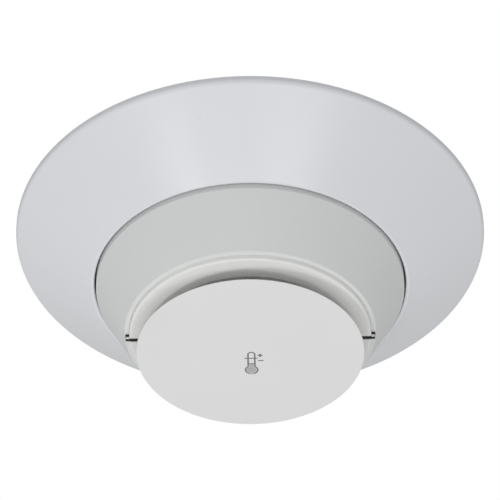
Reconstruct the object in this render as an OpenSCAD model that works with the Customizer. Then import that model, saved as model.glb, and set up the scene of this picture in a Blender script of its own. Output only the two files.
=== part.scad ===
// Heat detector: a flanged ceiling base and the plug-in head that twists into it.
//
// Units are millimetres. The ceiling plane is z = 0, +Z points up into the
// ceiling and the detector hangs below it. Distances named "depth" are measured
// down from the ceiling, so a point at depth d has z = -d.

/* [Display] */
// Sub-part to draw, or all of them together

/* [Ceiling flange] */
// Outside radius of the flange at the ceiling
flange_r = 77.1; // [76.8:0.1:78]
// Straight height of the lip that meets the ceiling
lip_h = 1.0; // [0.6:0.1:1.4]
// Radius of the rounding between the lip and the sloping face
lip_round = 2.0; // [1.2:0.1:2.4]
// Slope of the flange face below the horizontal, in degrees
flange_slope = 38; // [37.5:0.5:38.5]
// Wall thickness of the moulding
base_wall = 2.0; // [1.6:0.1:2.2]
// Number of stiffening ribs behind the flange
rib_count = 12; // [8:1:16]

/* [Socket and bayonet] */
// Inside radius of the socket that takes the head
socket_r = 50.8; // [50.75:0.05:51]
// Thickness of the plate that lies on the ceiling
plate_t = 2.5; // [2.2:0.1:2.6]
// Number of bayonet ledges and lugs
bayonet_count = 4; // [4]
// Azimuth of the middle of the first lug when the head is locked, in degrees
lug_azimuth = 45; // [44:0.5:46]
// Angle that one lug covers, in degrees
lug_span = 16; // [14:0.5:16]
// Turn that frees the head, in degrees
unlock_turn = 20; // [20:0.5:21]

/* [Fixings and cable entry] */
// Radius of the round cable entry in the middle of the plate
cable_r = 16; // [14:0.5:18]
// Distance between the middles of the wide pair of fixing slots
wide_spacing = 72; // [71:0.5:73]
// End-to-end length of the wide pair of slots
wide_slot = 16.2; // [15:0.1:16.4]
// Distance between the middles of the narrow pair of fixing slots
narrow_spacing = 55; // [54.5:0.5:56]
// End-to-end length of the narrow pair of slots
narrow_slot = 10; // [9:0.1:10.4]
// Width of every fixing slot
slot_w = 4.6; // [4.2:0.1:4.8]

/* [Terminals and contacts] */
// Distance of the terminal screws from the axis
terminal_r = 31; // [30.5:0.25:31.25]
// Width of a contact spring
spring_w = 8; // [7:0.25:8.5]
// Thickness of the contact metal
metal_t = 0.8; // [0.6:0.05:0.8]
// Radius of a terminal screw's shank
terminal_shank = 1.7; // [1.5:0.05:1.75]
// Gap between the spring and the blade it faces
contact_gap = 0.3; // [0.3:0.05:0.4]

/* [Head housing] */
// Radius of the upright band that shows inside the flange
band_r = 50.2; // [50:0.05:50.4]
// Depth at which the upright band turns into the cone
band_bottom = 23.0; // [22.9:0.1:23.6]
// Radius of the shell's lower edge
shell_edge_r = 40.67; // [40.4:0.01:40.9]
// Depth of the flat ledge at the bottom of the shell
ledge_depth = 41.16; // [40.9:0.01:41.4]
// Wall thickness of the head mouldings
head_wall = 2.0; // [1.8:0.05:2.1]
// Radius of the rear housing
rear_r = 46; // [45.8:0.05:46.2]

/* [Sensor end] */
// Radius of the sensor cover where it stands out of the shell
cover_r = 39.0; // [38.8:0.05:39.1]
// Depth of the sensor cover's flat face
cover_depth = 42.9; // [42.7:0.05:43.1]
// Radius of the front cap
cap_r = 36.6; // [36:0.1:37]
// Depth of the back of the cap, where the fins meet it
cap_top = 47.7; // [47.5:0.05:47.8]
// Depth of the cap's face, the lowest surface of the detector
cap_face = 49.4; // [49.2:0.05:49.6]
// Number of fins that hold the cap below the cover
fin_count = 6; // [4:1:8]
// Outer end of each fin, measured from the axis
fin_r = 27.0; // [25:0.5:27.5]
// Radius of the recess in the sensor cover, behind the cap
recess_r = 30.4; // [30:0.1:31]
// Depth of the floor of that recess
recess_depth = 39.6; // [39.4:0.1:39.8]

/* [Indicator slots] */
// Width of the slot around each light pipe
led_slot_w = 1.8; // [1.76:0.02:1.9]
// Inner end of the slot, measured from the axis
led_slot_in = 35.6; // [35.4:0.1:36]
// Outer end of the slot, measured from the axis
led_slot_out = 40.3; // [40.25:0.05:40.35]
// Distance of both slots from the line through the axis
led_y = 0.4; // [0:0.1:0.6]
// Width of the light pipe's tip, which stands against one side of the slot
pipe_tip = 0.56; // [0.5:0.02:0.6]

/* [Address switches] */
// Radius of a rotary dial
dial_r = 4.0; // [3.8:0.05:4.1]
// Running clearance around a dial
dial_gap = 0.05; // [0.03:0.01:0.08]
// Distance of each dial from the middle of the head
dial_x = 6.4; // [6.2:0.1:6.6]

/* [Thermometer symbol] */
// Depth of the inlay in the cap's face
inlay = 0.2; // [0.15:0.05:0.3]
// Width of the drawn lines
line_w = 0.55; // [0.4:0.05:0.6]
// Radius of the bulb
bulb_r = 2.25; // [2.1:0.05:2.3]
// Half the width of the tube
tube_r = 1.35; // [1.25:0.05:1.4]

/* [Hidden] */
$fn = 96;
e = 0.01;
eps = 0.5;

// flange section
lip_c = [flange_r - lip_round, -lip_h];
slope_end = [lip_c[0] + lip_round * sin(flange_slope), lip_c[1] - lip_round * cos(flange_slope)];
rim_round = 0.7;
rim_c_r = socket_r + rim_round;
function cone_z(r) = slope_end[1] - (slope_end[0] - r) * tan(flange_slope);
rim_c_z = cone_z(rim_c_r + rim_round * sin(flange_slope)) + rim_round * cos(flange_slope);
wall_r = socket_r + base_wall;
function inner_z(r) = cone_z(r) + base_wall / cos(flange_slope);

// bayonet
lug_top = 12.0;
lug_bottom = 14.7;
ledge_top = 15.0;
ledge_bottom = 17.0;
ledge_r = 47.0;
lug_r = 49.5;
stop_gap = 0.6;
stop_w = 2.4;
ledge_a0 = lug_azimuth - lug_span / 2 - unlock_turn + lug_span + 1;
lock_a0 = lug_azimuth + lug_span / 2 + stop_gap;
lock_a1 = lock_a0 + stop_w;
ledge_a1 = lock_a1 + 1;

// terminals
pad_depth = 4.0;
foot_top = pad_depth;
clamp_top = foot_top + metal_t;
screw_top = clamp_top + 1.0;
screw_bottom = screw_top + 2.2;
spring_out = 45.4;
spring_in = 37.0;
blade_top = 9.0 + contact_gap;
spring_face = 9.0;

// head
rear_top = blade_top + metal_t;
board_top = 17.0;
board_t = 1.6;
board_bottom = board_top + board_t;
board_r = 42.5;
shell_top = 17.7;
chassis_top = 35.0;
chassis_bottom = 36.6;
screw_pitch_r = 30;
screw_azimuths = [90, 210, 330];
led_r = 36.0;
tip_in = 38.9;
tip_out = 40.05;
tongue_w = led_slot_w - 0.06;
pipe_y = led_y - pipe_tip / 2;
cone_slope = (band_r - shell_edge_r - 0.3) / (ledge_depth - 0.6 - band_bottom);
function shell_r(depth) = band_r - (depth - band_bottom) * cone_slope;
switch_top = rear_top - 0.2;
dial_top = switch_top;

// offsets of the pictogram from the axis
sym_x = 0.3;
sym_y = -0.22;
bulb_y = 8.35;
tube_y = -0.83 + tube_r;
fill_y = 4.95;

// Points of an arc about c, from angle a0 to a1
function arc(c, r, a0, a1, n) =
    [for (i = [0 : n]) let (a = a0 + (a1 - a0) * i / n) [c[0] + r * cos(a), c[1] + r * sin(a)]];

// Solid of revolution from points [radius, z]
module turned(points) {
    rotate_extrude() polygon(points);
}

// Disc or ring between two depths
module ring(top, bottom, outer, inner = 0) {
    translate([0, 0, -bottom]) difference() {
        cylinder(h = bottom - top, r = outer);
        if (inner > 0) translate([0, 0, -1]) cylinder(h = bottom - top + 2, r = inner);
    }
}

// Upright post or hole between two depths, at a radius and azimuth
module post(top, bottom, r, at = 0, azimuth = 0) {
    rotate([0, 0, azimuth]) translate([at, 0, -bottom]) cylinder(h = bottom - top, r = r);
}

// Block between two depths, centred on [x, y]
module block(top, bottom, size, at = [0, 0]) {
    translate([at[0] - size[0] / 2, at[1] - size[1] / 2, -bottom])
        cube([size[0], size[1], bottom - top]);
}

// Part of a ring between two azimuths
module sector(top, bottom, inner, outer, a0, a1) {
    rotate([0, 0, a0]) rotate_extrude(angle = a1 - a0)
        polygon([[inner, -bottom], [outer, -bottom], [outer, -top], [inner, -top]]);
}

// Slot through a plate, its length along X
module slot_hole(top, bottom, length, width) {
    for (s = [-1, 1])
        translate([s * (length - width) / 2, 0, -bottom]) cylinder(h = bottom - top, r = width / 2);
    translate([-(length - width) / 2, -width / 2, -bottom])
        cube([length - width, width, bottom - top]);
}

// Copies its children at every bayonet position
module at_quarters() {
    for (k = [0 : bayonet_count - 1]) rotate([0, 0, k * 360 / bayonet_count]) children();
}

// ---------------------------------------------------------------- base

// Flange, plate, socket wall, ribs and bayonet ledges, moulded in one piece
module mounting_base() {
    color([0.86, 0.86, 0.88]) difference() {
        union() {
            turned(concat(
                [[flange_r, 0]],
                arc(lip_c, lip_round, 0, -(90 - flange_slope), 8),
                arc([rim_c_r, rim_c_z], rim_round, -(90 - flange_slope), -180, 6),
                [[socket_r, -plate_t], [cable_r, -plate_t], [cable_r, 0], [wall_r, 0],
                 [wall_r, inner_z(wall_r)],
                 [flange_r - base_wall, inner_z(flange_r - base_wall)],
                 [flange_r - base_wall, 0]]));
            for (k = [0 : rib_count - 1])
                rotate([0, 0, (k + 0.5) * 360 / rib_count]) translate([0, 0.8, 0]) rotate([90, 0, 0])
                    linear_extrude(1.6) polygon([
                        [wall_r - eps, -1.5], [flange_r - base_wall - 1.5, -1.5],
                        [flange_r - base_wall - 1.5, inner_z(flange_r - base_wall - 1.5) - eps],
                        [wall_r - eps, inner_z(wall_r - eps) - eps]]);
            at_quarters() {
                // ledge that carries a lug
                sector(ledge_top, ledge_bottom, ledge_r, socket_r + eps, ledge_a0, ledge_a1);
                // stop at the locked end, standing on the ledge
                sector(lug_top, ledge_top + eps, ledge_r + 0.6, socket_r + eps, lock_a0, lock_a1);
                // stop at the free end
                sector(lug_top, ledge_bottom, ledge_r, socket_r + eps,
                       lug_azimuth - lug_span / 2 - unlock_turn - stop_gap - stop_w,
                       lug_azimuth - lug_span / 2 - unlock_turn - stop_gap);
                // pad under a terminal
                rotate([0, 0, lug_azimuth])
                    block(plate_t - eps, pad_depth, [14, 11], [terminal_r + 1, 0]);
            }
            // rim around the cable entry
            ring(plate_t - eps, plate_t + 1.2, cable_r + 1.6, cable_r);
        }
        for (s = [-1, 1]) {
            translate([s * wide_spacing / 2, 0, 0]) slot_hole(-1, plate_t + 1, wide_slot, slot_w);
            translate([0, s * narrow_spacing / 2, 0]) rotate([0, 0, 90])
                slot_hole(-1, plate_t + 1, narrow_slot, slot_w);
        }
        // blind holes for the terminal screws
        at_quarters() post(1.0, pad_depth + 1, terminal_shank + 0.2, terminal_r, lug_azimuth);
    }
}

// Pan-head screw with a cross recess, its head towards the floor
module terminal_screw() {
    difference() {
        union() {
            translate([0, 0, -screw_bottom]) cylinder(h = screw_bottom - screw_top, r = 3.3);
            translate([0, 0, -screw_top - e]) cylinder(h = screw_top - 1.3, r = terminal_shank);
        }
        for (a = [0, 90]) rotate([0, 0, a])
            translate([-1.9, -0.35, -screw_bottom - 1]) cube([3.8, 0.7, 2.2]);
    }
}

module terminal_screws() {
    color([0.78, 0.76, 0.70])
        at_quarters() rotate([0, 0, lug_azimuth]) translate([terminal_r, 0, 0]) terminal_screw();
}

// Square saddle washer under each screw head
module terminal_clamps() {
    color([0.80, 0.78, 0.72]) at_quarters() rotate([0, 0, lug_azimuth]) difference() {
        union() {
            block(clamp_top, screw_top, [8.6, 8.6], [terminal_r, 0]);
            for (s = [-1, 1]) block(clamp_top - 0.6, clamp_top + 0.5, [8.6, 0.8], [terminal_r, s * 4.7]);
        }
        post(clamp_top - 2, screw_top + 1, terminal_shank + 0.1, terminal_r);
    }
}

// Contact spring: a foot under the screw, a riser and a leaf that meets the head's blade
module base_contacts() {
    color([0.82, 0.72, 0.45]) at_quarters() rotate([0, 0, lug_azimuth]) difference() {
        translate([0, spring_w / 2, 0]) rotate([90, 0, 0]) linear_extrude(spring_w) polygon([
            [26.5, -foot_top], [spring_out - 6.0, -foot_top], [spring_out - 5.0, -plate_t - 0.05],
            [spring_out, -plate_t - 0.05], [spring_out, -spring_face], [spring_in + 1, -spring_face],
            [spring_in, -spring_face + 0.9], [spring_in - 0.5, -spring_face + 1.5],
            [spring_in, -spring_face + 1.9],
            [spring_in + 1.4, -spring_face + metal_t], [spring_out - metal_t, -spring_face + metal_t],
            [spring_out - metal_t, -plate_t - 0.05 - metal_t],
            [spring_out - 4.6, -plate_t - 0.05 - metal_t],
            [spring_out - 5.6, -foot_top - metal_t], [26.5, -foot_top - metal_t]]);
        post(0, clamp_top + 0.1, terminal_shank + 0.1, terminal_r);
    }
}

// ---------------------------------------------------------------- head, rear

// Rear cover with the four lugs, open for the address switches and blades
module rear_housing() {
    color([0.88, 0.88, 0.86]) difference() {
        union() {
            turned([[0, -rear_top], [rear_r - 1, -rear_top], [rear_r, -rear_top - 1],
                    [rear_r, -18.0], [band_r - head_wall - 0.1, -18.0],
                    [band_r - head_wall - 0.1, -19.6], [rear_r - head_wall, -19.6],
                    [rear_r - head_wall, -rear_top - head_wall], [0, -rear_top - head_wall]]);
            at_quarters() sector(lug_top, lug_bottom, rear_r - 1, lug_r,
                                 lug_azimuth - lug_span / 2, lug_azimuth + lug_span / 2);
            // sleeves that clamp the circuit board
            for (a = screw_azimuths)
                post(rear_top + head_wall - eps, board_top, 3.6, screw_pitch_r, a);
        }
        // window for the switches
        block(rear_top - 1, rear_top + head_wall + 1, [4 * dial_x + 0.8, 13.4]);
        // slots for the blade tangs
        at_quarters() rotate([0, 0, lug_azimuth])
            block(rear_top - 1, rear_top + head_wall + 1, [1.0, 4.2], [38.4, 0]);
        // screw holes with recessed heads
        for (a = screw_azimuths) {
            post(rear_top - 1, rear_top + 1.6, 2.9, screw_pitch_r, a);
            post(rear_top, board_top + 1, 1.6, screw_pitch_r, a);
        }
    }
}

// Blank rating label
module rear_label() {
    color([0.93, 0.93, 0.90]) block(rear_top - 0.15, rear_top, [34, 13], [0, -22]);
}

// Flat blades on the rear cover with tangs down to the circuit board
module contact_blades() {
    color([0.83, 0.80, 0.72]) at_quarters() rotate([0, 0, lug_azimuth]) {
        block(blade_top, rear_top, [7.0, 7.0], [40.9, 0]);
        block(rear_top - e, board_top, [metal_t, 4.0], [38.4, 0]);
    }
}

// Countersunk-style housing screw, head flush with the rear cover
module housing_screws() {
    color([0.72, 0.72, 0.74]) for (a = screw_azimuths)
        rotate([0, 0, a]) translate([screw_pitch_r, 0, 0]) difference() {
            union() {
                translate([0, 0, -rear_top - 1.6]) cylinder(h = 1.4, r = 2.7);
                translate([0, 0, -27]) cylinder(h = 27 - rear_top - 1.5, r = 1.3);
            }
            for (b = [0, 90]) rotate([0, 0, b])
                translate([-1.6, -0.3, -rear_top - 0.9]) cube([3.2, 0.6, 2]);
        }
}

// Decade rotary switches: fixed bodies on the board, with a round well for each dial
module switch_bodies() {
    color([0.16, 0.17, 0.20]) for (s = [-1, 1]) difference() {
        block(switch_top, board_top, [4 * dial_x / 2 - 0.4, 12.4], [s * dial_x, 0]);
        translate([s * dial_x, 0, -dial_top - 3.0]) cylinder(h = 4, r = dial_r + dial_gap);
    }
}

// Rotary dial with a screwdriver slot and a pointer notch
module dial(x) {
    difference() {
        translate([x, 0, -dial_top - 2.7]) cylinder(h = 2.7, r = dial_r);
        translate([x - 2.9, -0.5, -dial_top - 1.2]) cube([5.8, 1.0, 2]);
        translate([x + 1.5, 0, -dial_top - 1.0]) cylinder(h = 2, r = 1.1);
    }
}

module tens_dial() {
    color([0.92, 0.91, 0.86]) dial(-dial_x);
}

module ones_dial() {
    color([0.92, 0.91, 0.86]) dial(dial_x);
}

// ---------------------------------------------------------------- head, front

// Block that reaches from x0 to x1 along the line of the indicators, on side s
module indicator_block(s, top, bottom, x0, x1, width, y = led_y) {
    block(top, bottom, [x1 - x0, width], [s * (x0 + x1) / 2, y]);
}

// Opening around each indicator, shared by the shell and the sensor cover
module led_slots() {
    for (s = [-1, 1]) indicator_block(s, 36, 48, led_slot_in, led_slot_out, led_slot_w);
}

// Outer shell: upright band, cone and the flat ledge at the sensor cover
module body_shell() {
    edge = 0.6;
    color([0.80, 0.80, 0.79]) difference() {
        turned(concat(
            [[band_r, -shell_top], [band_r, -band_bottom]],
            arc([shell_edge_r - edge, -ledge_depth + edge], edge, -atan(cone_slope), -90, 5),
            [[cover_r + 0.06, -ledge_depth], [cover_r + 0.06, -ledge_depth + head_wall + 0.4],
             [shell_r(36) - head_wall, -36],
             [band_r - head_wall, -band_bottom + 0.6], [band_r - head_wall, -shell_top]]));
        led_slots();
    }
}

// Stepped ring and flat face around a recess that the fins stand in, open in the middle
module sensor_cover() {
    round_r = 0.7;
    t = 1.5;
    color([0.82, 0.82, 0.81]) difference() {
        turned(concat(
            [[cover_r, -chassis_bottom]],
            arc([cover_r - round_r, -cover_depth + round_r], round_r, 0, -90, 4),
            arc([recess_r + 0.3, -cover_depth + 0.3], 0.3, -90, -180, 3),
            [[recess_r, -recess_depth], [13, -recess_depth], [13, -recess_depth + t],
             [recess_r + t, -recess_depth + t], [recess_r + t, -cover_depth + t],
             [cover_r - 1.8, -cover_depth + t], [cover_r - 1.8, -chassis_bottom]]));
        led_slots();
    }
}

// Outline of the thermometer's tube and bulb, drawn flat and drawn in by inset
module thermometer(inset = 0) {
    translate([sym_x, bulb_y]) circle(r = bulb_r - inset);
    translate([sym_x, tube_y]) circle(r = tube_r - inset);
    translate([sym_x - tube_r + inset, tube_y]) square([2 * (tube_r - inset), bulb_y - tube_y]);
}

// The symbol: outlined thermometer with its filling, a scale mark, a plus and a minus
module symbol_shape() {
    gap = 0.14;
    difference() {
        thermometer();
        thermometer(line_w);
    }
    // filling
    intersection() {
        thermometer(line_w + gap);
        translate([sym_x - 3, fill_y]) square([6, 8]);
    }
    translate([sym_x - tube_r + line_w - 0.05, fill_y]) square([2 * (tube_r - line_w) + 0.1, line_w * 0.8]);
    // scale mark across the tube
    translate([-1.95, 2.45 - line_w * 0.475]) square([4.2, line_w * 0.95]);
    // plus and minus
    arm = line_w * 1.1;
    translate([3.1 - 0.8, 1.0 - arm / 2]) square([1.6, arm]);
    translate([3.1 - arm / 2, 1.0 - 0.8]) square([arm, 1.6]);
    translate([3.25 - 0.87, 3.65 - line_w * 0.475]) square([1.74, line_w * 0.95]);
}

// Round cap on fins: a thin rim that falls away behind, and a shallow recess for the symbol
module front_cap() {
    lower = 0.22;
    rim = 0.3;
    color([0.84, 0.84, 0.84]) difference() {
        union() {
            turned(concat(
                [[0, -cap_top], [cap_r - 3.2, -cap_top], [cap_r - 0.08, -cap_face + rim]],
                arc([cap_r - lower, -cap_face + lower], lower, 0, -90, 4),
                [[0, -cap_face]]));
            for (k = [0 : fin_count - 1]) rotate([0, 0, (k + 0.5) * 360 / fin_count])
                block(recess_depth, cap_top + eps, [fin_r - 14, 1.6], [(fin_r + 14) / 2, 0]);
        }
        translate([0, 0, -cap_face - 1]) linear_extrude(1 + inlay)
            translate([0, sym_y]) symbol_shape();
    }
}

// Grey inlay that fills the recess in the cap
module cap_symbol() {
    color([0.56, 0.56, 0.56])
        translate([0, 0, -cap_face]) linear_extrude(inlay) translate([0, sym_y]) symbol_shape();
}

// Clear pipe from each lamp, with a foot that carries its tip out into the slot
module light_pipes() {
    color([0.93, 0.94, 0.95]) for (s = [-1, 1]) {
        translate([s * led_r, led_y, -38.6]) cylinder(h = 38.6 - board_bottom - 2.2, r = 1.0);
        indicator_block(s, 38.3, 39.7, led_r, tip_out, pipe_tip, pipe_y);
        indicator_block(s, 39.0, 42.4, tip_in, tip_out, pipe_tip, pipe_y);
    }
}

// Black frame between the board and the sensor cover
module inner_chassis() {
    color([0.05, 0.05, 0.05]) difference() {
        union() {
            ring(chassis_top, chassis_bottom, 40.4);
            // rim
            ring(33.0, chassis_top + eps, 40.4, 38.9);
            // screw posts up to the board
            for (a = screw_azimuths) post(board_bottom, chassis_top + eps, 3.2, screw_pitch_r, a);
            // plug that closes the middle of the sensor cover
            ring(chassis_bottom - eps, 41.0, 12.8);
            // tongues that fill the indicator slots around the light pipes
            for (s = [-1, 1]) {
                indicator_block(s, chassis_bottom - eps, 42.6, led_slot_in + 0.1, led_slot_out - 0.1, tongue_w);
            }
        }
        // screw holes
        for (a = screw_azimuths) post(board_bottom - 1, 28, 1.35, screw_pitch_r, a);
        // holes for the sensor leads
        for (s = [-1, 1]) translate([s * 8, 0, -44]) cylinder(h = 12, r = 1.6);
        // holes for the light pipes, with a channel for the foot and a well for the tip
        for (s = [-1, 1]) {
            translate([s * led_r, led_y, -38.8]) cylinder(h = 7, r = 1.2);
            indicator_block(s, 38.1, 39.9, 34, tip_out + 0.05, pipe_tip + 0.1, pipe_y);
            indicator_block(s, 39.5, 44, tip_in - 0.05, tip_out + 0.05, pipe_tip + 0.1, pipe_y);
            // the tip's other side stands free
            indicator_block(s, 41.9, 44, tip_in - 0.05, led_slot_out + 1, 1.2, led_y + 0.05 - 0.6);
        }
    }
}

// ---------------------------------------------------------------- electronics

module circuit_board() {
    color([0.10, 0.36, 0.20]) difference() {
        ring(board_top, board_bottom, board_r);
        for (a = screw_azimuths) post(board_top - 1, board_bottom + 1, 1.6, screw_pitch_r, a);
    }
}

// Square chip with pins along two sides
module microcontroller() {
    color([0.10, 0.10, 0.11]) {
        block(board_bottom + 0.2, board_bottom + 1.6, [9, 7], [0, 16]);
        for (s = [-1, 1], i = [-3 : 3])
            block(board_bottom, board_bottom + 0.6, [0.45, 1.6], [i * 1.2, 16 + s * 4.0]);
    }
}

// Lamps over the light pipes
module status_leds() {
    color([0.93, 0.88, 0.85]) for (s = [-1, 1]) {
        block(board_bottom, board_bottom + 1.2, [3.2, 2.8], [s * led_r, led_y]);
        translate([s * led_r, led_y, -board_bottom - 1.9]) cylinder(h = 0.9, r = 1.1);
    }
}

// Upright electrolytic capacitors with a crimped collar
module capacitors() {
    color([0.20, 0.24, 0.42]) for (y = [-9, 3])
        translate([-20, y, 0]) turned([
            [0, -board_bottom], [3.6, -board_bottom], [3.6, -board_bottom - 0.8],
            [4.0, -board_bottom - 1.0], [4.0, -board_bottom - 1.8], [3.7, -board_bottom - 2.2],
            [4.0, -board_bottom - 2.6], [4.0, -board_bottom - 9.6], [3.6, -board_bottom - 10],
            [0, -board_bottom - 10]]);
}

// Chip resistors in two rows
module resistors() {
    color([0.20, 0.20, 0.20]) for (i = [0 : 3], s = [-1, 1])
        block(board_bottom, board_bottom + 0.6, [2.0, 1.25], [i * 4.0 - 6, -16 + s * 2.2]);
}

// Round-bodied diodes lying on the board
module diodes() {
    color([0.55, 0.28, 0.20]) for (i = [0 : 2])
        translate([14 + i * 4, 10, -board_bottom - 0.8]) rotate([90, 0, 0])
            cylinder(h = 3.6, r = 0.8, center = true);
}

// Glass reed switch for the magnet test, on two bent wires
module reed_switch() {
    color([0.70, 0.78, 0.74]) translate([19, -9, -board_bottom - 2.4]) {
        rotate([90, 0, 0]) cylinder(h = 12, r = 1.1, center = true);
        for (s = [-1, 1]) {
            translate([0, s * 6.9, 0]) rotate([90, 0, 0]) cylinder(h = 2.0, r = 0.3, center = true);
            translate([0, s * 7.6, 0]) cylinder(h = 2.4, r = 0.3);
        }
    }
}

// Pairs of stiff wires that carry the beads in the air gap
module thermistor_leads() {
    color([0.75, 0.74, 0.72]) for (s = [-1, 1], t = [-1, 1])
        translate([s * 8, t * 0.7, -44.6]) cylinder(h = 44.6 - board_bottom, r = 0.25);
}

// Epoxy-coated temperature sensing beads
module thermistor_beads() {
    color([0.12, 0.11, 0.10]) for (s = [-1, 1]) difference() {
        translate([s * 8, 0, -45.2]) sphere(r = 1.5);
        for (t = [-1, 1]) translate([s * 8, t * 0.7, -44.6]) cylinder(h = 4, r = 0.25);
    }
}

mounting_base();
terminal_screws();
terminal_clamps();
base_contacts();
rear_housing();
rear_label();
contact_blades();
housing_screws();
body_shell();
sensor_cover();
front_cap();
cap_symbol();
light_pipes();
inner_chassis();
circuit_board();
microcontroller();
status_leds();
capacitors();
resistors();
diodes();
reed_switch();
thermistor_leads();
thermistor_beads();
switch_bodies();
tens_dial();
ones_dial();
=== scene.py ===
import math

import bmesh
import bpy
from mathutils import Matrix, Vector

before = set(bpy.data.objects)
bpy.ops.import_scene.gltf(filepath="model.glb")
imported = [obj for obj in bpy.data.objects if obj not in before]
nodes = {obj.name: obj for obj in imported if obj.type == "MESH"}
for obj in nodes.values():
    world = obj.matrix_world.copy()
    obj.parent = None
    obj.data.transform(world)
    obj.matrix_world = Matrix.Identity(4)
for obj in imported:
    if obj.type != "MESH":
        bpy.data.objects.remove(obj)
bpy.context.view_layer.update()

MM = 0.001


# ------------------------------------------------------------------ materials

def srgb(r, g, b):
    """Linear colour of an 8-bit sRGB one."""
    out = []
    for c in (r, g, b):
        c /= 255.0
        out.append(c / 12.92 if c <= 0.04045 else ((c + 0.055) / 1.055) ** 2.4)
    return (*out, 1.0)


class Tree:
    """Small helper over a material's node tree."""

    def __init__(self, name):
        self.mat = bpy.data.materials.new(name)
        self.mat.use_nodes = True
        self.tree = self.mat.node_tree
        self.tree.nodes.clear()
        self.out = self.add("ShaderNodeOutputMaterial")
        self.bsdf = self.add("ShaderNodeBsdfPrincipled")
        self.link(self.bsdf.outputs["BSDF"], self.out.inputs["Surface"])
        self.coord = self.add("ShaderNodeTexCoord")

    def add(self, kind, **values):
        n = self.tree.nodes.new(kind)
        for k, v in values.items():
            setattr(n, k, v)
        return n

    def link(self, a, b):
        self.tree.links.new(a, b)

    def noise(self, scale, detail=3.0, rough=0.5, stretch=None, distortion=0.0):
        n = self.add("ShaderNodeTexNoise")
        n.inputs["Scale"].default_value = scale
        n.inputs["Detail"].default_value = detail
        n.inputs["Roughness"].default_value = rough
        n.inputs["Distortion"].default_value = distortion
        if stretch:
            m = self.add("ShaderNodeMapping")
            m.inputs["Scale"].default_value = stretch
            self.link(self.coord.outputs["Object"], m.inputs["Vector"])
            self.link(m.outputs["Vector"], n.inputs["Vector"])
        else:
            self.link(self.coord.outputs["Object"], n.inputs["Vector"])
        return n.outputs["Fac"]

    def ranged(self, fac, low, high, frm=(0.3, 0.7)):
        m = self.add("ShaderNodeMapRange")
        m.inputs["From Min"].default_value = frm[0]
        m.inputs["From Max"].default_value = frm[1]
        m.inputs["To Min"].default_value = low
        m.inputs["To Max"].default_value = high
        self.link(fac, m.inputs["Value"])
        return m.outputs["Result"]

    def mixed(self, fac, a, b, blend="MIX"):
        m = self.add("ShaderNodeMix", data_type="RGBA", blend_type=blend)
        if isinstance(fac, float):
            m.inputs[0].default_value = fac
        else:
            self.link(fac, m.inputs[0])
        for value, socket in ((a, m.inputs[6]), (b, m.inputs[7])):
            if isinstance(value, tuple):
                socket.default_value = value
            else:
                self.link(value, socket)
        return m.outputs[2]

    def bump(self, *layers):
        """layers are (height socket, strength, distance in metres); each is laid over the last."""
        normal = None
        for height, strength, distance in layers:
            b = self.add("ShaderNodeBump")
            b.inputs["Strength"].default_value = strength
            b.inputs["Distance"].default_value = distance
            self.link(height, b.inputs["Height"])
            if normal:
                self.link(normal, b.inputs["Normal"])
            normal = b.outputs["Normal"]
        self.link(normal, self.bsdf.inputs["Normal"])


def tint(c, k):
    return (min(1.0, c[0] * k), min(1.0, c[1] * k), min(1.0, c[2] * k), 1.0)


def plastic(name, colour, rough=0.4, rough_span=0.06, mottle=0.02, mottle_scale=45.0, grain=0.12,
            grain_scale=2600.0, wave=0.0, wave_scale=60.0, ior=1.47, specular=0.5, coat=0.0, dust=0.0):
    """Moulded plastic: faint mottling, uneven gloss, a fine spark or polish grain and slow moulding waves."""
    t = Tree(name)
    cloud = t.noise(mottle_scale, 4.0, 0.55)
    speck = t.noise(grain_scale * 0.6, 2.0, 0.6)
    base = t.mixed(t.ranged(cloud, 0.0, 1.0), tint(colour, 1.0 - mottle), tint(colour, 1.0 + mottle))
    base = t.mixed(t.ranged(speck, 0.0, 0.35, (0.45, 0.8)), base, tint(colour, 1.0 - 2.0 * mottle))
    if dust:
        film = t.noise(17.0, 5.0, 0.6, distortion=0.4)
        base = t.mixed(t.ranged(film, 0.0, dust, (0.5, 0.8)), base, (0.62, 0.60, 0.56, 1.0))
    t.link(base, t.bsdf.inputs["Base Color"])
    t.link(t.ranged(t.noise(mottle_scale * 2.3, 4.0, 0.6), rough - rough_span, rough + rough_span),
           t.bsdf.inputs["Roughness"])
    t.bsdf.inputs["IOR"].default_value = ior
    t.bsdf.inputs["Specular IOR Level"].default_value = specular
    if coat:
        t.bsdf.inputs["Coat Weight"].default_value = coat
        t.bsdf.inputs["Coat Roughness"].default_value = 0.2
    layers = [(t.noise(grain_scale, 2.0, 0.5), grain, 0.00003)]
    if wave:
        layers.insert(0, (t.noise(wave_scale, 2.0, 0.4), wave, 0.0004))
    t.bump(*layers)
    return t.mat


def metal(name, colour, rough=0.3, scratch=(900.0, 60.0, 900.0), strength=0.12, tarnish=None):
    t = Tree(name)
    streak = t.noise(1.0, 3.0, 0.6, stretch=scratch)
    cloud = t.noise(220.0, 4.0, 0.6)
    base = t.mixed(t.ranged(cloud, 0.0, 1.0), tint(colour, 0.86), tint(colour, 1.08))
    if tarnish:
        base = t.mixed(t.ranged(t.noise(480.0, 5.0, 0.65), 0.0, 0.6, (0.52, 0.78)), base, tarnish)
    t.link(base, t.bsdf.inputs["Base Color"])
    t.bsdf.inputs["Metallic"].default_value = 1.0
    t.link(t.ranged(streak, rough - 0.08, rough + 0.12), t.bsdf.inputs["Roughness"])
    t.bump((streak, strength, 0.00002))
    return t.mat


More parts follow.
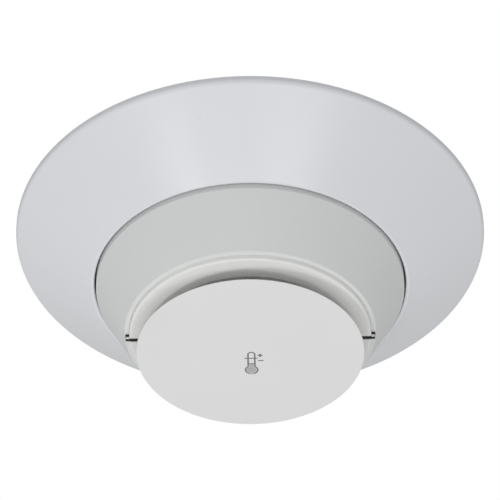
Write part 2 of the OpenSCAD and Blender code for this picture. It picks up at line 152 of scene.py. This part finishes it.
def clear(name, colour, rough=0.12, transmission=0.75):
    t = Tree(name)
    cloud = t.noise(900.0, 3.0, 0.5)
    t.link(t.mixed(t.ranged(cloud, 0.0, 1.0), tint(colour, 0.95), tint(colour, 1.04)), t.bsdf.inputs["Base Color"])
    t.bsdf.inputs["Transmission Weight"].default_value = transmission
    t.bsdf.inputs["IOR"].default_value = 1.49
    t.link(t.ranged(t.noise(2200.0, 2.0, 0.5), rough - 0.05, rough + 0.08), t.bsdf.inputs["Roughness"])
    t.bump((t.noise(3000.0, 2.0, 0.5), 0.08, 0.00002))
    return t.mat


def board_material(name):
    """Green solder mask over copper traces, with pale drilled pads."""
    t = Tree(name)
    m = t.add("ShaderNodeMapping")
    m.inputs["Scale"].default_value = (310.0, 310.0, 310.0)
    t.link(t.coord.outputs["Object"], m.inputs["Vector"])
    brick = t.add("ShaderNodeTexBrick")
    brick.offset = 0.37
    brick.inputs["Scale"].default_value = 1.0
    brick.inputs["Mortar Size"].default_value = 0.09
    brick.inputs["Mortar Smooth"].default_value = 0.3
    brick.inputs["Brick Width"].default_value = 1.7
    brick.inputs["Row Height"].default_value = 0.55
    t.link(m.outputs["Vector"], brick.inputs["Vector"])
    cells = t.add("ShaderNodeTexVoronoi")
    cells.inputs["Scale"].default_value = 240.0
    t.link(t.coord.outputs["Object"], cells.inputs["Vector"])
    base = t.mixed(brick.outputs["Fac"], srgb(28, 92, 52), srgb(58, 128, 78))
    base = t.mixed(t.ranged(cells.outputs["Distance"], 1.0, 0.0, (0.06, 0.11)), base, srgb(196, 190, 168))
    base = t.mixed(t.ranged(t.noise(70.0), 0.0, 0.4), base, srgb(20, 74, 42))
    t.link(base, t.bsdf.inputs["Base Color"])
    t.link(t.ranged(t.noise(500.0), 0.25, 0.45), t.bsdf.inputs["Roughness"])
    t.bump((brick.outputs["Fac"], 0.25, 0.00004))
    return t.mat


def label_material(name):
    """Blank label: faint ruled boxes, no words."""
    t = Tree(name)
    m = t.add("ShaderNodeMapping")
    m.inputs["Scale"].default_value = (90.0, 230.0, 1.0)
    t.link(t.coord.outputs["Object"], m.inputs["Vector"])
    brick = t.add("ShaderNodeTexBrick")
    brick.offset = 0.0
    brick.inputs["Scale"].default_value = 1.0
    brick.inputs["Mortar Size"].default_value = 0.03
    brick.inputs["Brick Width"].default_value = 1.5
    brick.inputs["Row Height"].default_value = 1.0
    t.link(m.outputs["Vector"], brick.inputs["Vector"])
    base = t.mixed(brick.outputs["Fac"], srgb(236, 235, 228), srgb(176, 176, 170))
    base = t.mixed(t.ranged(t.noise(120.0), 0.0, 0.3), base, srgb(222, 220, 210))
    t.link(base, t.bsdf.inputs["Base Color"])
    t.link(t.ranged(t.noise(800.0), 0.4, 0.55), t.bsdf.inputs["Roughness"])
    t.bump((t.noise(2500.0), 0.1, 0.00002))
    return t.mat


def symbol_material(name, line, fill):
    """Printed pictogram: darker outline and marks, and a lighter filling inside the bulb and the tube."""
    t = Tree(name)
    split = t.add("ShaderNodeSeparateXYZ")
    t.link(t.coord.outputs["Object"], split.inputs["Vector"])

    def calc(op, a, b=0.0):
        n = t.add("ShaderNodeMath", operation=op)
        for value, socket in ((a, n.inputs[0]), (b, n.inputs[1])):
            if isinstance(value, float):
                socket.default_value = value
            else:
                t.link(value, socket)
        return n.outputs[0]

    def length(a, b):
        return calc("SQRT", calc("ADD", calc("MULTIPLY", a, a), calc("MULTIPLY", b, b)))

    x = calc("SUBTRACT", calc("MULTIPLY", split.outputs["X"], 1000.0), 0.3)
    y = calc("MULTIPLY", split.outputs["Y"], 1000.0)
    bulb = calc("SUBTRACT", length(x, calc("SUBTRACT", y, 8.13)), 2.25)
    tube = calc("SUBTRACT", length(x, calc("MAXIMUM", calc("SUBTRACT", 0.30, y), 0.0)), 1.35)
    inside = calc("MINIMUM", bulb, tube)
    deep = t.ranged(inside, 1.0, 0.0, (-0.64, -0.60))
    below = t.ranged(y, 0.0, 1.0, (5.20, 5.24))
    ink = t.noise(700.0, 3.0, 0.6)
    dark = t.mixed(t.ranged(ink, 0.0, 1.0), tint(line, 0.93), tint(line, 1.07))
    pale = t.mixed(t.ranged(ink, 0.0, 1.0), tint(fill, 0.96), tint(fill, 1.04))
    t.link(t.mixed(calc("MULTIPLY", deep, below), dark, pale), t.bsdf.inputs["Base Color"])
    t.link(t.ranged(t.noise(900.0, 3.0, 0.6), 0.45, 0.55), t.bsdf.inputs["Roughness"])
    t.bump((t.noise(3500.0, 2.0, 0.5), 0.15, 0.00003))
    return t.mat


FLANGE = (0.793, 0.809, 0.837, 1.0)
SHELL = (0.773, 0.782, 0.781, 1.0)
COVER = (0.892, 0.899, 0.872, 1.0)
CAP = (0.814, 0.813, 0.813, 1.0)

MATERIALS = {
    "mounting_base": plastic("base_white", FLANGE, 0.30, 0.03, 0.010, 28.0, 0.05, 2200.0, wave=0.10, wave_scale=34.0, specular=0.5),
    "body_shell": plastic("shell_white", SHELL, 0.46, 0.04, 0.014, 40.0, 0.22, 3000.0),
    "sensor_cover": plastic("cover_white", COVER, 0.46, 0.04, 0.014, 45.0, 0.22, 3000.0),
    "front_cap": plastic("cap_white", CAP, 0.48, 0.04, 0.010, 38.0, 0.20, 3000.0),
    "cap_symbol": symbol_material("symbol_grey", srgb(128, 128, 128), srgb(182, 182, 182)),
    "rear_housing": plastic("rear_white", (0.72, 0.72, 0.70, 1.0), 0.5, 0.05, 0.02, 50.0, 0.2, 2400.0),
    "inner_chassis": plastic("black_frame", srgb(20, 20, 21), 0.5, 0.08, 0.2, 90.0, 0.2, 2400.0),
    "switch_bodies": plastic("switch_black", srgb(40, 42, 48), 0.45, 0.06, 0.12, 300.0, 0.2, 3000.0),
    "tens_dial": plastic("dial_ivory", srgb(228, 224, 206), 0.42, 0.05, 0.03, 400.0, 0.15, 3500.0),
    "microcontroller": plastic("chip_black", srgb(34, 34, 36), 0.55, 0.06, 0.12, 700.0, 0.3, 5000.0),
    "status_leds": plastic("lamp_clear", srgb(230, 222, 212), 0.25, 0.05, 0.05, 900.0, 0.05, 4000.0),
    "capacitors": plastic("capacitor_sleeve", srgb(48, 58, 104), 0.3, 0.05, 0.08, 260.0, 0.08, 2500.0),
    "resistors": plastic("chip_resistor", srgb(44, 44, 46), 0.35, 0.06, 0.15, 900.0, 0.1, 5000.0),
    "diodes": plastic("diode_body", srgb(150, 66, 40), 0.2, 0.05, 0.12, 900.0, 0.05, 4000.0),
    "thermistor_beads": plastic("epoxy_black", srgb(36, 34, 32), 0.22, 0.06, 0.15, 900.0, 0.1, 2500.0, wave=0.2, wave_scale=900.0),
    "light_pipes": clear("clear_pipe", (0.96, 0.965, 0.97, 1.0), 0.22, 0.06),
    "reed_switch": clear("reed_glass", srgb(176, 205, 188), 0.08, 0.7),
    "terminal_screws": metal("plated_screw", (0.66, 0.64, 0.58, 1.0), 0.30, (500.0, 500.0, 500.0)),
    "terminal_clamps": metal("plated_steel", (0.63, 0.61, 0.56, 1.0), 0.34, (900.0, 90.0, 300.0)),
    "base_contacts": metal("contact_brass", (0.78, 0.62, 0.34, 1.0), 0.30, (90.0, 900.0, 300.0), tarnish=(0.42, 0.27, 0.12, 1.0)),
    "contact_blades": metal("tinned_brass", (0.72, 0.68, 0.58, 1.0), 0.32, (90.0, 900.0, 300.0), tarnish=(0.5, 0.42, 0.28, 1.0)),
    "housing_screws": metal("zinc_screw", (0.60, 0.60, 0.62, 1.0), 0.32, (500.0, 500.0, 500.0)),
    "thermistor_leads": metal("tinned_wire", (0.66, 0.65, 0.62, 1.0), 0.30, (900.0, 900.0, 60.0)),
    "circuit_board": board_material("board_green"),
    "rear_label": label_material("label_stock"),
}
MATERIALS["ones_dial"] = MATERIALS["tens_dial"]

for name, obj in nodes.items():
    for s in obj.material_slots:
        s.material = MATERIALS[name]


# ------------------------------------------------------------------ stage

def floor_material():
    t = Tree("pale_floor")
    base = t.mixed(t.ranged(t.noise(0.8, 3.0), 0.0, 1.0), (0.80, 0.80, 0.80, 1.0), (0.84, 0.84, 0.84, 1.0))
    t.link(base, t.bsdf.inputs["Base Color"])
    t.bsdf.inputs["Roughness"].default_value = 0.9
    t.bsdf.inputs["Emission Color"].default_value = (1.0, 1.0, 1.0, 1.0)
    t.bsdf.inputs["Emission Strength"].default_value = FLOOR_GLOW
    return t.mat


FLOOR_GLOW = 0.42
FLOOR_Z = -2.6
floor_mesh = bpy.data.meshes.new("floor")
floor_mesh.from_pydata([(-6, -6, FLOOR_Z), (6, -6, FLOOR_Z), (6, 6, FLOOR_Z), (-6, 6, FLOOR_Z)], [], [(0, 1, 2, 3)])
floor_mesh.materials.append(floor_material())
floor = bpy.data.objects.new("floor", floor_mesh)
bpy.context.scene.collection.objects.link(floor)
# the floor is scenery: the object is lit by the lights and the sky alone
floor.visible_diffuse = False
floor.visible_glossy = False
floor.visible_transmission = False


def area(name, toward, distance, size, power, colour=(1.0, 1.0, 1.0), size_y=None):
    """Soft light that stands from the object in direction toward and faces it."""
    data = bpy.data.lights.new(name, "AREA")
    data.shape = "RECTANGLE" if size_y else "DISK"
    data.size = size
    if size_y:
        data.size_y = size_y
    data.energy = power
    data.color = colour
    obj = bpy.data.objects.new(name, data)
    bpy.context.scene.collection.objects.link(obj)
    d = Vector(toward).normalized()
    obj.location = d * distance + Vector((0, 0, -0.02))
    obj.rotation_mode = "QUATERNION"
    obj.rotation_quaternion = d.to_track_quat("Z", "Y")
    obj.visible_camera = False
    return obj


area("below", (0.0, 0.0, -1.0), 1.5, 1.0, 0.57)
area("above", (0.0, 0.05, 1.0), 2.2, 0.6, 12.0)
area("near_left", (-0.6, -0.6, -0.55), 1.5, 1.0, 0.60)
area("far_left", (-0.55, 0.65, -0.5), 1.5, 1.0, 1.14)
area("far_right", (0.55, 0.65, -0.5), 1.5, 1.0, 0.99)
# soft lights in a fan: each one's reflection is a streak on the sloping flange
for azimuth, power in ((-62, 1.54), (-50, 1.59), (-18, 0.41), (-9, 0.13), (9, 0.48), (26, 0.58), (44, 1.35)):
    turn = math.radians(azimuth)
    area("streak_%d" % azimuth, (0.4848 * math.sin(turn), -0.4848 * math.cos(turn), -0.8746), 1.3, 0.16, power)

world = bpy.data.worlds.new("studio")
bpy.context.scene.world = world
world.use_nodes = True
wt = world.node_tree
wt.nodes.clear()
w_out = wt.nodes.new("ShaderNodeOutputWorld")
w_mix = wt.nodes.new("ShaderNodeMixShader")
w_path = wt.nodes.new("ShaderNodeLightPath")
w_dim = wt.nodes.new("ShaderNodeBackground")
w_white = wt.nodes.new("ShaderNodeBackground")
w_dim.inputs["Color"].default_value = (1.0, 1.0, 1.0, 1.0)
w_dim.inputs["Strength"].default_value = 0.452
w_white.inputs["Color"].default_value = (1.0, 1.0, 1.0, 1.0)
w_white.inputs["Strength"].default_value = 1.0
wt.links.new(w_path.outputs["Is Camera Ray"], w_mix.inputs[0])
wt.links.new(w_dim.outputs[0], w_mix.inputs[1])
wt.links.new(w_white.outputs[0], w_mix.inputs[2])
wt.links.new(w_mix.outputs[0], w_out.inputs["Surface"])

scene = bpy.context.scene
scene.view_settings.view_transform = "Standard"
scene.view_settings.look = "None"
scene.view_settings.exposure = 0.0
scene.view_settings.gamma = 1.0

# ------------------------------------------------------------------ camera

DIST, ELEV, ROLL, TURN = 1.129, math.radians(41.18), math.radians(-0.145), math.radians(0.715)
cam_data = bpy.data.cameras.new("camera")
cam = bpy.data.objects.new("camera", cam_data)
scene.collection.objects.link(cam)
scene.camera = cam
place = Vector((DIST * math.cos(ELEV) * math.sin(TURN), -DIST * math.cos(ELEV) * math.cos(TURN), -DIST * math.sin(ELEV)))
ahead = (-place).normalized()
side = Vector((math.cos(TURN), math.sin(TURN), 0.0))
up = side.cross(ahead)
right = math.cos(ROLL) * side + math.sin(ROLL) * up
top = right.cross(ahead)
cam.matrix_world = Matrix((
    (right.x, top.x, -ahead.x, place.x),
    (right.y, top.y, -ahead.y, place.y),
    (right.z, top.z, -ahead.z, place.z),
    (0, 0, 0, 1)))
cam_data.sensor_width = 36.0
cam_data.lens = 3419.0 / 500.0 * 36.0
cam_data.shift_x = -0.1 / 500.0
cam_data.shift_y = -12.0 / 500.0
cam_data.clip_start, cam_data.clip_end = 0.05, 30.0
